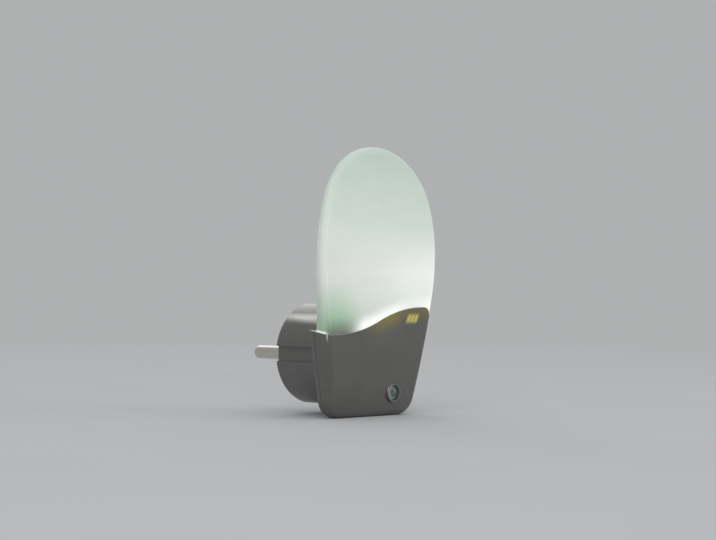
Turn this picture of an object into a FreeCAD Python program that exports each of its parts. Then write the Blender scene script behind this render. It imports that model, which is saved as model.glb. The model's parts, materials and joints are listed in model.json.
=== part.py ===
import FreeCAD, Part
import math
import os
import re
import Sketcher

# Plug-in night light with a light sensor.
# +Z is up, the front faces -Y and the plug pins point along +Y into the socket.
# The origin is the middle of the plug's contact face, midway between the pins.

V = FreeCAD.Vector

SIZES = dict(
    # plug: round boss for a recessed socket, two solid pins
    pin_diameter=4.8,
    pin_length=19,
    pin_pitch=19,
    pin_tip_round=1.6,
    pin_root_diameter=4.2,
    pin_shank_diameter=3.6,
    pin_shank_length=5.4,
    cup_diameter=1.7,
    cup_depth=2.5,
    pin_hub_diameter=8,
    pin_hub_height=1.8,
    washer_diameter=6.6,
    washer_thickness=0.8,
    boss_diameter=36.5,
    boss_wall=3.2,
    face_thickness=3.2,
    face_chamfer=1,
    groove_width=5.4,
    groove_depth=2,
    clip_flat_width=8,
    clip_flat_depth=1.8,
    relief_end=2.4,
    # outline of the lamp seen from the front
    half_width=28.8,
    widest_height=35.5,
    tip_height=72.95,
    tip_ease=1.6,
    flank_radius=96,
    side_taper=9.4,
    sole_drop=21.6,
    corner_radius=7,
    # depth, and the gently bowed front
    body_depth=36,
    front_radius=330,
    front_crest=37,
    shell_depth=10.2,
    rear_thickness=2.2,
    wall=1.6,
    front_round=2.5,
    rear_round=0.8,
    fit_gap=0.2,
    seam_gap=0.12,
    # wavy upper edge of the housing
    wave_low=6.9,
    wave_high=16.6,
    wave_reach=21.5,
    wave_end=22.3,
    wave_drop=2.6,
    wave_rake=10,
    # lip of the rear housing and the arch that covers the boss
    lip_thickness=1,
    lip_height=1,
    lip_top=3,
    arch_margin=2.2,
    # hollow frosted lens
    lens_reveal=0.2,
    lens_skin=1.4,
    lens_back_skin=1,
    lens_thickness=3.5,
    lens_back_radius=205,
    lens_back_crest=46,
    lens_back_round=0.6,
    lens_foot=4,
    lens_tuck=3,
    # sensor window in the front
    sensor_x=9.6,
    sensor_drop=13.5,
    bezel_diameter=6.8,
    bezel_bore=5.5,
    bezel_bevel=0.2,
    bezel_proud=0.1,
    bezel_depth=3,
    window_thickness=0.8,
    window_bow=0.6,
    ldr_diameter=5,
    ldr_thickness=1.5,
    ldr_lead_pitch=3.4,
    lead_diameter=0.5,
    # main circuit board, seated on the rear housing
    board_half_width=18,
    board_top=3.5,
    board_bottom=17,
    board_foot_half_width=13.2,
    board_shoulder=8,
    board_waist=12,
    board_thickness=1,
    board_screw_x=12,
    board_screw_drop=5,
    board_post_diameter=4.4,
    screw_diameter=2,
    screw_head_diameter=3.8,
    screw_head_height=1.1,
    board_screw_length=7,
    pilot_depth=8,
    rib_x=16,
    rib_thickness=1.2,
    rib_height=8,
    rib_top=2,
    # screws that close the case from behind
    case_screw_x=16.3,
    case_screw_drop=15.2,
    case_post_diameter=4.8,
    case_screw_length=3.7,
    case_pilot_depth=2.9,
    case_head_sink=1.3,
    # light source
    led_board_left=7,
    led_board_right=21.5,
    led_board_bottom=8.3,
    led_board_top=15,
    led_x=16.2,
    led_height=12.8,
    led_pitch=1.9,
    led_width=1.4,
    led_length=3,
    led_thickness=0.8,
    led_room=1,
    led_wire_diameter=0.9,
    led_wire_x=9,
    led_wire_pitch=2.2,
    led_wire_start=1.4,
    led_wire_end=9.8,
    led_wire_bow=1.4,
    # mains wires inside the boss
    wire_diameter=1.3,
    wire_offset=10.6,
    wire_straight=1.5,
    wire_shift_length=4,
    # parts on the back of the main board
    stand_off=0.4,
    film_x=3.15,
    film_drop=0.2,
    film_width=10.5,
    film_height=6,
    film_depth=11,
    film_round=0.8,
    film_lead_pitch=7.5,
    smoother_x=5.9,
    smoother_drop=0.4,
    smoother_diameter=5,
    smoother_length=11,
    smoother_lead_pitch=2,
    bridge_x=3,
    bridge_drop=7.5,
    bridge_width=8,
    bridge_height=6.2,
    bridge_depth=3.1,
    bridge_leg_pitch=5.1,
    varistor_x=3.9,
    varistor_drop=8,
    varistor_diameter=6.6,
    varistor_thickness=3.2,
    varistor_lead_pitch=4,
    fuse_x=12,
    fuse_height=1.9,
    fuse_diameter=2.8,
    fuse_length=8.5,
    fuse_lead_pitch=3,
    bleeder_x=3.1,
    bleeder_drop=12.5,
    bleeder_diameter=2.3,
    bleeder_length=6.2,
    bleeder_span=7.4,
    bias_x=4.6,
    bias_drop=12.6,
    bias_diameter=1.7,
    bias_length=3.2,
    bias_span=4.6,
    zener_x=8.9,
    zener_drop=8.6,
    zener_diameter=1.9,
    zener_length=3.8,
    zener_span=5.2,
    transistor_x=8.6,
    transistor_drop=8.9,
    transistor_diameter=4.4,
    transistor_length=4.6,
    transistor_flat=1.2,
    transistor_lead_pitch=1.27,
    solder_diameter=1.2,
    solder_height=0.45,
)

doc = FreeCAD.newDocument("NightLight")
sheet = doc.addObject("Spreadsheet::Sheet", "Sizes")
for row, (alias, number) in enumerate(SIZES.items(), start=1):
    sheet.set("A%d" % row, alias.replace("_", " "))
    sheet.set("B%d" % row, str(number))
    sheet.setAlias("B%d" % row, alias)
doc.recompute()


def linked(text):
    """A formula in plain size names, as an expression on the sheet's cells."""
    return re.sub(r"[a-z_]+", lambda word: "Sizes." + word[0] if word[0] in SIZES else word[0], text)


def value(text):
    """The formula's number in millimetres, or in radians where it is an angle."""
    found = sheet.evalExpression(linked(text))
    if isinstance(found, FreeCAD.Units.Quantity):
        return math.radians(found.Value) if found.Unit == FreeCAD.Units.Angle else found.Value
    return float(found)


def bind(item, **formulas):
    for name, text in formulas.items():
        item.setExpression(name, linked(text))
    return item


def put(item, x="0", y="0", z="0"):
    for axis, text in zip("xyz", (x, y, z)):
        item.setExpression("Placement.Base." + axis, linked(text))
    return item


# Sketch planes: the front view looks along +Y, the side view along -X, the plan down
FRONT_VIEW = FreeCAD.Placement(V(), FreeCAD.Rotation(V(1, 0, 0), 90))
SIDE_VIEW = FreeCAD.Placement(V(), FreeCAD.Rotation(V(1, 1, 1), 120))
PLAN_VIEW = FreeCAD.Placement()
ALONG = {
    "x": FreeCAD.Rotation(V(0, 1, 0), 90),
    "y": FreeCAD.Rotation(V(1, 0, 0), -90),
    "z": FreeCAD.Rotation(),
}


# Formulas that several pieces share: planes across Y, the lens's back, two sizes of the outline,
# and the plane where the sensor's ring leaves the bowed front at its upper edge
REAR = "(shell_depth - body_depth)"
PARTING = "(shell_depth - body_depth - rear_thickness)"
BOARD_FRONT = "(shell_depth - body_depth - rear_thickness - board_thickness)"
LENS_BACK = ("lens_thickness - body_depth", "lens_back_radius", "lens_back_crest")
TONGUE_INSET = "wall + fit_gap"
TIP_RADIUS = "(half_width - tip_ease)"
SENSOR_RISE = "(front_crest + sensor_drop - bezel_diameter / 2)"
SENSOR_FACE = "(front_radius - body_depth - sqrt(front_radius ^ 2 - %s ^ 2))" % SENSOR_RISE


# Solid building blocks
def box(name, corner, size):
    item = doc.addObject("Part::Box", name)
    bind(item, Length=size[0], Width=size[1], Height=size[2])
    return put(item, *corner)


def rod(name, start, diameter, length, axis="y"):
    item = doc.addObject("Part::Cylinder", name)
    item.Placement.Rotation = ALONG[axis]
    bind(item, Radius="(%s) / 2" % diameter, Height=length)
    return put(item, *start)


def fuse(name, *items):
    item = doc.addObject("Part::MultiFuse", name)
    item.Shapes = list(items)
    return item


def common(name, *items):
    item = doc.addObject("Part::MultiCommon", name)
    item.Shapes = list(items)
    return item


def cut(name, base, *tools):
    item = doc.addObject("Part::Cut", name)
    item.Base = base
    item.Tool = tools[0] if len(tools) == 1 else fuse(name + "_tools", *tools)
    return item


def group(name, *items):
    item = doc.addObject("Part::Compound", name)
    item.Links = list(items)
    return item


def extrude(name, profile, length, direction=None, centred=False):
    item = doc.addObject("Part::Extrusion", name)
    item.Base = profile
    item.Solid = True
    item.Symmetric = centred
    item.DirMode = "Custom" if direction else "Normal"
    if direction:
        item.Dir = direction
    return bind(item, LengthFwd=length)


def revolve(name, profile, axis):
    item = doc.addObject("Part::Revolution", name)
    item.Source = profile
    item.Axis = axis
    item.Solid = True
    return item


def rounded(name, base, rounds):
    """Round every edge that a test picks, each with its own radius."""
    doc.recompute()
    item = doc.addObject("Part::Fillet", name)
    item.Base = base
    edges = []
    for index, edge in enumerate(base.Shape.Edges, start=1):
        for test, text in rounds:
            if test(edge):
                edges.append((index, value(text), value(text)))
                break
    item.Edges = edges
    return item


def bevelled(name, base, test, text):
    doc.recompute()
    item = doc.addObject("Part::Chamfer", name)
    item.Base = base
    item.Edges = [
        (index, value(text), value(text)) for index, edge in enumerate(base.Shape.Edges, start=1) if test(edge)
    ]
    return item


# Sketches
def line(start, end):
    return Part.LineSegment(V(*start), V(*end))


def arc(centre, radius, start_angle, end_angle):
    return Part.ArcOfCircle(Part.Circle(V(*centre), V(0, 0, 1), radius), start_angle, end_angle)


def draw(name, view, edges, smooth=(), rules=(), sizes=(), closed=True):
    """A sketch whose edges meet end to end; those in smooth run on tangent."""
    item = doc.addObject("Sketcher::SketchObject", name)
    item.Placement = view
    item.addGeometry(list(edges), False)
    for i in range(len(edges) if closed else len(edges) - 1):
        j = (i + 1) % len(edges)
        here = {1: edges[i].StartPoint, 2: edges[i].EndPoint}
        there = {1: edges[j].StartPoint, 2: edges[j].EndPoint}
        pairs = [(a, b) for a in here for b in there]
        a, b = min(pairs, key=lambda pair: here[pair[0]].distanceToPoint(there[pair[1]]))
        item.addConstraint(Sketcher.Constraint("Tangent" if i in smooth else "Coincident", i, a, j, b))
    for rule in rules:
        item.addConstraint(Sketcher.Constraint(*rule))
    for rule, text in sizes:
        number = item.addConstraint(Sketcher.Constraint(*rule, value(text)))
        item.setExpression("Constraints[%d]" % number, linked(text))
    return item


def tongue_sketch(name, inset):
    """The lamp's outline, from its round tip to its flat sole, drawn inset from the outer edge."""
    gap = value(inset)
    wide, level = value("half_width") - gap, value("widest_height")
    tip = value(TIP_RADIUS) - gap
    tip_y = value("tip_height - " + TIP_RADIUS)
    low = value("flank_radius") - gap
    corner = value("corner_radius") - gap
    sole = gap - value("sole_drop")
    taper = value("side_taper * 1 deg")
    # the upper flank touches the widest point upright and runs into the tip's arc
    rise = tip_y - level
    flank = (wide**2 + rise**2 - tip**2) / (2 * (wide - tip))
    turn = math.atan2(rise, flank - wide)
    low_x = wide - low
    foot_y = sole + corner
    side_x = low_x + low * math.cos(taper)
    side_y = level - low * math.sin(taper)
    run = (side_y - foot_y + corner * math.sin(taper)) / math.cos(taper)
    foot_x = side_x - run * math.sin(taper)
    foot_centre = foot_x - corner * math.cos(taper)
    edges = [
        arc((0, tip_y), tip, turn, math.pi - turn),
        arc((flank - wide, level), flank, math.pi - turn, math.pi),
        arc((-low_x, level), low, math.pi, math.pi + taper),
        line((-side_x, side_y), (-foot_x, foot_y - corner * math.sin(taper))),
        arc((-foot_centre, foot_y), corner, math.pi + taper, 1.5 * math.pi),
        line((-foot_centre, sole), (foot_centre, sole)),
        arc((foot_centre, foot_y), corner, 1.5 * math.pi, 2 * math.pi - taper),
        line((foot_x, foot_y - corner * math.sin(taper)), (side_x, side_y)),
        arc((low_x, level), low, -taper, 0),
        arc((wide - flank, level), flank, 0, turn),
    ]
    rules = [("PointOnObject", 0, 3, -2), ("Horizontal", 5)]
    sizes = [
        (("Radius", 0), "%s - (%s)" % (TIP_RADIUS, inset)),
        (("DistanceY", -1, 1, 0, 3), "tip_height - " + TIP_RADIUS),
        (("DistanceX", -1, 1, 9, 1), "half_width - (%s)" % inset),
        (("DistanceX", 1, 2, -1, 1), "half_width - (%s)" % inset),
        (("Radius", 2), "flank_radius - (%s)" % inset),
        (("Radius", 8), "flank_radius - (%s)" % inset),
        (("Radius", 4), "corner_radius - (%s)" % inset),
        (("Radius", 6), "corner_radius - (%s)" % inset),
        (("DistanceY", 5, 1, -1, 1), "sole_drop - (%s)" % inset),
        (("Angle", 7), "(90 - side_taper) * 1 deg"),
        (("Angle", 3), "(side_taper - 90) * 1 deg"),
    ]
    sizes += [(("DistanceY", -1, 1, edge, 3), "widest_height") for edge in (1, 2, 8, 9)]
    return draw(name, FRONT_VIEW, edges, smooth=range(10), rules=rules, sizes=sizes)


def tongue_block(name, inset, start, length):
    """The outline as a block that grows towards the front from the plane start."""
    profile = tongue_sketch(name + "_outline", inset)
    profile.setExpression("Placement.Base.y", linked(start))
    return extrude(name, profile, length)


def slab(name, inset, back=None, low="-sole_drop - 6", high="tip_height + 6"):
    """Everything behind the bowed front, as far as a flat or a bowed back."""
    radius = value("front_radius") - value(inset)
    centre = (value("front_radius - body_depth"), value("front_crest"))
    bottom, top = value(low), value(high)
    down, up = math.asin((centre[1] - bottom) / radius), math.asin((top - centre[1]) / radius)
    front = arc(centre, radius, math.pi - up, math.pi + down)
    sizes = [
        (("Radius", 0), "front_radius - (%s)" % inset),
        (("DistanceX", -1, 1, 0, 3), "front_radius - body_depth"),
        (("DistanceY", -1, 1, 0, 3), "front_crest"),
        (("DistanceY", 0, 1, -1, 1) if top < 0 else ("DistanceY", -1, 1, 0, 1), high),
        (("DistanceY", 0, 2, -1, 1), "-(%s)" % low) if bottom < 0 else (("DistanceY", -1, 1, 0, 2), low),
    ]
    if isinstance(back, tuple):
        # a bowed back: its crest's plane, its radius and its crest's height
        plane, bow, crest = back
        back_radius, crest_z = value(bow), value(crest)
        back_centre = (value(plane) + back_radius, crest_z)
        back_down = math.asin((crest_z - bottom) / back_radius)
        back_up = math.asin((top - crest_z) / back_radius)
        rear = arc(back_centre, back_radius, math.pi - back_up, math.pi + back_down)
        sizes += [
            (("Radius", 2), bow),
            (("DistanceX", -1, 1, 2, 3), "(%s) + (%s)" % (plane, bow)),
            (("DistanceY", -1, 1, 2, 3), crest),
        ]
        rules = []
    else:
        rear = line((value(back), bottom), (value(back), top))
        sizes += [(("DistanceX", 2, 1, -1, 1), "-(%s)" % back)]
        rules = [("Vertical", 2)]
    low_end = (rear.EndPoint if isinstance(back, tuple) else rear.StartPoint)[0]
    high_end = (rear.StartPoint if isinstance(back, tuple) else rear.EndPoint)[0]
    edges = [
        front,
        line((front.EndPoint[0], bottom), (low_end, bottom)),
        rear,
        line((high_end, top), (front.StartPoint[0], top)),
    ]
    rules += [("Horizontal", 1), ("Horizontal", 3)]
    profile = draw(name + "_profile", SIDE_VIEW, edges, rules=rules, sizes=sizes)
    return extrude(name, profile, "2 * half_width + 8", centred=True)


def wave_block(name, lift="0"):
    """Everything below the wavy edge, raked so that the edge rises towards the rear."""
    low, high = value("wave_low"), value("wave_high")
    reach, end, drop = value("wave_reach"), value("wave_end"), value("wave_drop")
    radius = ((2 * reach) ** 2 + (high - low) ** 2) / (4 * (high - low))
    half = 2 * math.atan((high - low) / (2 * reach))
    side = value("half_width + 4")
    sole = value("-sole_drop - 12")
    edges = [
        line((-side, low), (-reach, low)),
        arc((-reach, low + radius), radius, -math.pi / 2, half - math.pi / 2),
        arc((reach, high - radius), radius, math.pi / 2, math.pi / 2 + half),
        line((reach, high), (end, high)),
        arc((end, high - drop), drop, 0, math.pi / 2),
        line((end + drop, high - drop), (side, high - drop)),
        line((side, high - drop), (side, sole)),
        line((side, sole), (-side, sole)),
        line((-side, sole), (-side, low)),
    ]
    rules = [("Horizontal", edge) for edge in (0, 3, 5, 7)] + [("Vertical", 6), ("Vertical", 8)]
    rules += [("Equal", 1, 2), ("Horizontal", 4, 3, 4, 1)]
    sizes = [
        (("DistanceY", -1, 1, 0, 1), "wave_low"),
        (("DistanceY", -1, 1, 3, 1), "wave_high"),
        (("DistanceX", 0, 2, -1, 1), "wave_reach"),
        (("DistanceX", -1, 1, 3, 1), "wave_reach"),
        (("Radius", 4), "wave_drop"),
        (("DistanceX", -1, 1, 3, 2), "wave_end"),
        (("DistanceX", 0, 1, -1, 1), "half_width + 4"),
        (("DistanceX", -1, 1, 6, 1), "half_width + 4"),
        (("DistanceY", 7, 1, -1, 1), "sole_drop + 12"),
    ]
    profile = draw(name + "_profile", FRONT_VIEW, edges, smooth=(0, 1, 2, 3), rules=rules, sizes=sizes)
    put(profile, y="-body_depth", z=lift)
    rake = value("wave_rake * 1 deg")
    return extrude(name, profile, "body_depth / 2", direction=V(0, math.cos(rake), math.sin(rake)))


def all_at(edge, axis, place):
    """Does the whole edge lie in the plane where this axis has this value?"""
    box_ = edge.BoundBox
    low, high = getattr(box_, axis + "Min"), getattr(box_, axis + "Max")
    return abs(low - place) < 0.01 and abs(high - place) < 0.01


def on_bowed_front(edge, inset):
    """Does the whole edge lie on the bowed front?"""
    centre = V(0, value("front_radius - body_depth"), value("front_crest"))
    radius = value("front_radius") - value(inset)
    points = [edge.valueAt(u) for u in (edge.FirstParameter, edge.LastParameter)]
    points.append(edge.valueAt((edge.FirstParameter + edge.LastParameter) / 2))
    return all(abs(math.hypot(p.y - centre.y, p.z - centre.z) - radius) < 0.01 for p in points)


def on_bowed_back(edge):
    centre_y = value("%s + %s" % LENS_BACK[:2])
    centre_z, radius = value("lens_back_crest"), value("lens_back_radius")
    points = [edge.valueAt(u) for u in (edge.FirstParameter, edge.LastParameter)]
    points.append(edge.valueAt((edge.FirstParameter + edge.LastParameter) / 2))
    return all(abs(math.hypot(p.y - centre_y, p.z - centre_z) - radius) < 0.01 for p in points)


# Casing
def case_form():
    """The full rounded form of which both housings are cut."""
    raw = common(
        "case_raw",
        tongue_block("case_block", "0", REAR, "shell_depth + 2"),
        slab("case_slab", "0", "0"),
    )
    at_front = (lambda edge: on_bowed_front(edge, "0"), "front_round")
    at_rear = (lambda edge: all_at(edge, "Y", value(REAR)), "rear_round")
    return rounded("case_form", raw, [at_front, at_rear])


def front_housing(form, wave):
    shell = common(
        "front_shell",
        form,
        wave,
        box(
            "front_half",
            ("-half_width - 2", "-body_depth - 2", "-sole_drop - 2"),
            ("2 * half_width + 4", "body_depth + 2 + %s - seam_gap" % PARTING, "sole_drop + tip_height"),
        ),
    )
    room = common(
        "front_room",
        tongue_block("front_room_block", "wall", "0", "body_depth + 2"),
        slab("front_room_slab", "wall", "0"),
    )
    hollow = cut("front_hollow", shell, room)
    inside = common(
        "front_inside",
        slab("front_inside_slab", "wall / 2", "%s - seam_gap" % PARTING),
        fuse(
            "front_posts",
            rod("front_post_left", ("-case_screw_x", "-body_depth", "-case_screw_drop"),
                "case_post_diameter", "body_depth"),
            rod("front_post_right", ("case_screw_x", "-body_depth", "-case_screw_drop"),
                "case_post_diameter", "body_depth"),
        ),
    )
    ribs = common(
        "front_ribs",
        slab("front_rib_slab", "wall / 2", "%s - fit_gap" % BOARD_FRONT),
        fuse(
            "front_rib_pair",
            box("front_rib_left", ("-rib_x - rib_thickness / 2", "-body_depth", "rib_top - rib_height"),
                ("rib_thickness", "body_depth", "rib_height")),
            box("front_rib_right", ("rib_x - rib_thickness / 2", "-body_depth", "rib_top - rib_height"),
                ("rib_thickness", "body_depth", "rib_height")),
        ),
    )
    pilots = [
        rod("case_pilot_" + side, (sign + "case_screw_x", "%s - seam_gap - case_pilot_depth" % PARTING,
                                   "-case_screw_drop"), "screw_diameter", "body_depth")
        for side, sign in (("left", "-"), ("right", ""))
    ]
    sensor_hole = at_sensor(rod("sensor_hole", ("0", "0", "0"), "bezel_diameter + seam_gap",
                                "2 * bezel_depth"), "-bezel_depth")
    return cut("front_housing", fuse("front_body", hollow, inside, ribs), *pilots, sensor_hole)


def rear_housing(form, wave):
    region = fuse(
        "rear_region",
        wave,
        rod("arch", ("0", "-body_depth", "0"), "boss_diameter + 2 * arch_margin", "body_depth"),
    )
    plate = common(
        "rear_plate",
        form,
        region,
        box("rear_half", ("-half_width - 2", PARTING, "-sole_drop - 2"),
            ("2 * half_width + 4", "rear_thickness + 2", "sole_drop + tip_height")),
    )
    lip = common(
        "rear_lip",
        cut(
            "rear_lip_ring",
            tongue_block("rear_lip_outer", TONGUE_INSET, PARTING, "lip_height"),
            tongue_block("rear_lip_inner", TONGUE_INSET + " + lip_thickness", "0", "body_depth"),
        ),
        box("rear_lip_reach", ("-half_width", "-body_depth", "-sole_drop - 2"),
            ("2 * half_width", "body_depth", "sole_drop + 2 + lip_top")),
    )
    # the saddle fills the space behind the lens, down to the board
    saddle = cut(
        "rear_saddle",
        common(
            "rear_saddle_form",
            tongue_block("rear_saddle_block", TONGUE_INSET, PARTING, "shell_depth"),
            slab("rear_saddle_slab", "0", PARTING),
            region,
            box("rear_saddle_reach", ("-half_width", "-body_depth", "lens_foot + fit_gap"),
                ("2 * half_width", "body_depth", "tip_height")),
        ),
        slab("rear_saddle_lens", "-2", (LENS_BACK[0] + " + fit_gap",) + LENS_BACK[1:]),
        box("rear_led_pocket", ("led_board_left - led_room", "-body_depth", "-sole_drop"),
            ("led_board_right - led_board_left + 2 * led_room", "body_depth + %s" % PARTING,
             "sole_drop + led_board_top + led_room")),
    )
    barrel = rod("boss_barrel", ("0", PARTING, "0"), "boss_diameter", "-%s" % PARTING)
    barrel = bevelled(
        "boss_bevelled", barrel, lambda edge: all_at(edge, "Y", 0), "face_chamfer"
    )
    room = rod("boss_room", ("0", "-body_depth", "0"), "boss_diameter - 2 * boss_wall",
               "body_depth - face_thickness")
    solid = cut("rear_solid", fuse("rear_outer", plate, lip, saddle, barrel), room)
    posts = [
        rod("board_post_" + side, (sign + "board_screw_x", PARTING, "-board_screw_drop"),
            "board_post_diameter", "-%s - face_thickness / 2" % PARTING)
        for side, sign in (("left", "-"), ("right", ""))
    ]
    hubs = [
        rod("pin_hub_" + side, (sign + "pin_pitch / 2", "-face_thickness - pin_hub_height", "0"),
            "pin_hub_diameter", "pin_hub_height + face_thickness / 2")
        for side, sign in (("left", "-"), ("right", ""))
    ]
    body = fuse("rear_body", solid, *posts, *hubs)
    length = "relief_end - %s" % REAR
    reliefs = [
        box("groove_left", ("-boss_diameter / 2 - 2", "relief_end + %s" % REAR, "-groove_width / 2"),
            ("groove_depth + 2", length, "groove_width")),
        box("groove_right", ("boss_diameter / 2 - groove_depth", "relief_end + %s" % REAR,
                             "-groove_width / 2"), ("groove_depth + 2", length, "groove_width")),
        box("clip_flat_top", ("-clip_flat_width / 2", "relief_end + %s" % REAR,
                              "boss_diameter / 2 - clip_flat_depth"),
            ("clip_flat_width", length, "clip_flat_depth + 2")),
        box("clip_flat_bottom", ("-clip_flat_width / 2", "relief_end + %s" % REAR,
                                 "-boss_diameter / 2 - 2"),
            ("clip_flat_width", length, "clip_flat_depth + 2")),
    ]
    holes = []
    for side, sign in (("left", "-"), ("right", "")):
        holes.append(rod("pin_hole_" + side, (sign + "pin_pitch / 2", "-body_depth / 2", "0"),
                         "pin_root_diameter + seam_gap", "body_depth"))
        holes.append(rod("pin_seat_" + side, (sign + "pin_pitch / 2", "-seam_gap", "0"),
                         "pin_diameter + seam_gap", "face_chamfer"))
        holes.append(rod("board_pilot_" + side, (sign + "board_screw_x", PARTING, "-board_screw_drop"),
                         "screw_diameter", "pilot_depth"))
        holes.append(rod("case_hole_" + side, (sign + "case_screw_x", PARTING + " - 2",
                                               "-case_screw_drop"),
                         "screw_diameter + 2 * fit_gap", "rear_thickness + 4"))
        holes.append(rod("case_sink_" + side, (sign + "case_screw_x", REAR + " - case_head_sink",
                                               "-case_screw_drop"),
                         "screw_head_diameter + 2 * fit_gap", "case_head_sink + 2"))
    return cut("rear_housing", body, *reliefs, *holes)


# Lens
def lens_room(name, slack):
    """The hollow of the lens, drawn slack smaller all round."""
    upper = cut(
        name + "_upper",
        common(
            name + "_upper_form",
            tongue_block(name + "_upper_block", "lens_reveal + lens_skin + %s" % slack, "0",
                         "body_depth + 2"),
            slab(name + "_upper_slab", "lens_reveal + lens_skin + %s" % slack, "0"),
        ),
        wave_block(name + "_wave", "lens_skin + %s" % slack),
    )
    lower = common(
        name + "_lower",
        tongue_block(name + "_lower_block", TONGUE_INSET + " + lens_skin + %s" % slack, "0",
                     "body_depth + 2"),
        slab(name + "_lower_slab", TONGUE_INSET + " + lens_skin + %s" % slack, "0",
             high="wave_high + 2 * lens_tuck"),
    )
    return fuse(name, upper, lower)


def lens_front():
    raw = common(
        "lens_raw",
        tongue_block("lens_block", "lens_reveal", "0", "body_depth + 2"),
        slab("lens_slab", "lens_reveal", LENS_BACK),
    )
    form = rounded(
        "lens_form",
        raw,
        [
            (lambda edge: on_bowed_front(edge, "lens_reveal"), "front_round - lens_reveal"),
            (on_bowed_back, "lens_back_round"),
        ],
    )
    upper = cut("lens_upper", form, wave_block("lens_wave", "seam_gap"))
    foot = common(
        "lens_foot_form",
        tongue_block("lens_foot_block", TONGUE_INSET, "0", "body_depth + 2"),
        slab("lens_foot_slab", TONGUE_INSET, LENS_BACK, low="lens_foot", high="wave_high + lens_tuck"),
    )
    return cut("diffuser_front", fuse("lens_outer", upper, foot), lens_room("lens_room", "0"))


def lens_back():
    sheet_form = cut(
        "lens_back_form",
        slab("lens_back_slab", "0", LENS_BACK, low="lens_foot"),
        slab("lens_back_inner", "-2", ("lens_thickness - lens_back_skin - body_depth",
                                       "lens_back_radius + lens_back_skin", "lens_back_crest")),
    )
    plate = common("lens_back_plate", sheet_form, lens_room("lens_back_room", "seam_gap"))
    notch = box(
        "lens_back_notch",
        ("led_board_left - led_room", "-body_depth", "-sole_drop"),
        ("led_board_right - led_board_left + 2 * led_room", "body_depth",
         "sole_drop + led_board_top + led_room"),
    )
    return cut("diffuser_back", plate, notch)


# Sensor, level with the plug, so that its ring stands proud of the sloping front
def at_sensor(item, inward="0"):
    """Put an item that was drawn at the origin at the sensor's place on the front."""
    return put(item, "sensor_x", "%s + %s" % (SENSOR_FACE, inward), "-sensor_drop")


def sensor_bezel():
    """A plain ring with a bevelled lip, pressed through the front."""
    outer, bore = value("bezel_diameter / 2"), value("bezel_bore / 2")
    proud, depth, bevel = value("bezel_proud"), value("bezel_depth"), value("bezel_bevel")
    points = [(bore, -proud), (outer - bevel, -proud), (outer, bevel - proud), (outer, depth), (bore, depth)]
    edges = [line(a, b) for a, b in zip(points, points[1:] + points[:1])]
    rules = [("Horizontal", 0), ("Vertical", 2), ("Horizontal", 3), ("Vertical", 4)]
    sizes = [
        (("DistanceX", -1, 1, 0, 1), "bezel_bore / 2"),
        (("DistanceX", -1, 1, 0, 2), "bezel_diameter / 2 - bezel_bevel"),
        (("DistanceX", -1, 1, 2, 1), "bezel_diameter / 2"),
        (("DistanceY", 0, 1, -1, 1), "bezel_proud"),
        (("DistanceY", 0, 2, 2, 1), "bezel_bevel"),
        (("DistanceY", -1, 1, 3, 1), "bezel_depth"),
    ]
    profile = draw("bezel_profile", PLAN_VIEW, edges, rules=rules, sizes=sizes)
    return at_sensor(revolve("sensor_bezel", profile, V(0, 1, 0)))


def sensor_window():
    """A clear plug with a slightly domed face, pressed into the bezel."""
    radius, bow, depth = value("bezel_bore / 2 - seam_gap"), value("window_bow"), value("window_thickness")
    dome = (radius**2 + bow**2) / (2 * bow)
    half = math.asin(radius / dome)
    edges = [
        line((0, depth), (radius, depth)),
        line((radius, depth), (radius, 0)),
        arc((0, dome - bow), dome, -math.pi / 2, half - math.pi / 2),
        line((0, -bow), (0, depth)),
    ]
    rules = [("Horizontal", 0), ("Vertical", 1), ("PointOnObject", 3, 1, -2), ("Vertical", 3),
             ("PointOnObject", 2, 3, -2), ("PointOnObject", 1, 2, -1)]
    sizes = [
        (("DistanceY", -1, 1, 0, 1), "window_thickness"),
        (("DistanceX", -1, 1, 1, 1), "bezel_bore / 2 - seam_gap"),
        (("DistanceY", 3, 1, -1, 1), "window_bow"),
    ]
    profile = draw("window_profile", PLAN_VIEW, edges, rules=rules, sizes=sizes)
    return at_sensor(revolve("sensor_window", profile, V(0, 1, 0)))


def photoresistor():
    """The disc behind the window, with two leads down to the board."""
    disc = at_sensor(rod("ldr_disc", ("0", "0", "0"), "ldr_diameter", "ldr_thickness"),
                     "window_thickness + seam_gap")
    middle = "(%s + window_thickness + seam_gap + ldr_thickness / 2)" % SENSOR_FACE
    leads = [
        rod("ldr_lead_" + side, ("sensor_x %s ldr_lead_pitch / 2" % sign, middle, "-sensor_drop"),
            "lead_diameter", "%s - %s" % (BOARD_FRONT, middle))
        for side, sign in (("left", "-"), ("right", "+"))
    ]
    return fuse("photoresistor", disc, *leads)


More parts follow.
